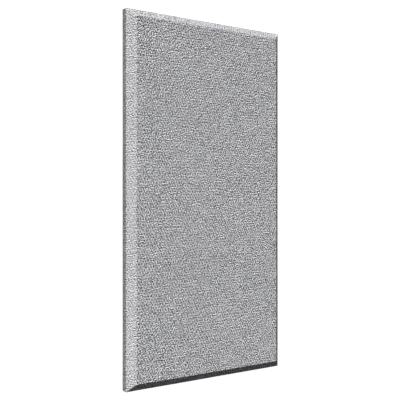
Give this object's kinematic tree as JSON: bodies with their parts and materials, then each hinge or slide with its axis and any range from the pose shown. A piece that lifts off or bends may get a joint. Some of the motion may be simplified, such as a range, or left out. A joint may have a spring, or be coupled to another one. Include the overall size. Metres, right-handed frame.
{
  "type": "fabric-wrapped acoustic panel",
  "caption": "Rectangular acoustic panel for a ceiling or wall: a rigid glass-fibre board with bevelled front edges, wrapped in heathered grey woven fabric that is turned over onto its back.",
  "frame": {"origin": "middle of the back plane, which is the plane that the panel rests on", "axes": "+X across the width, +Y along the length, +Z through the thickness, from the back to the bevelled face"},
  "size_m": [0.6096, 1.2192, 0.0508],
  "materials": {
    "glass_fibre": "matte, pressed yellow glass wool",
    "woven_fabric": "matte, heathered grey plain weave"
  },
  "bodies": {
    "root": {"glass_fibre_board": "glass_fibre", "fabric_cover": "woven_fabric"}
  },
  "joints": []
}
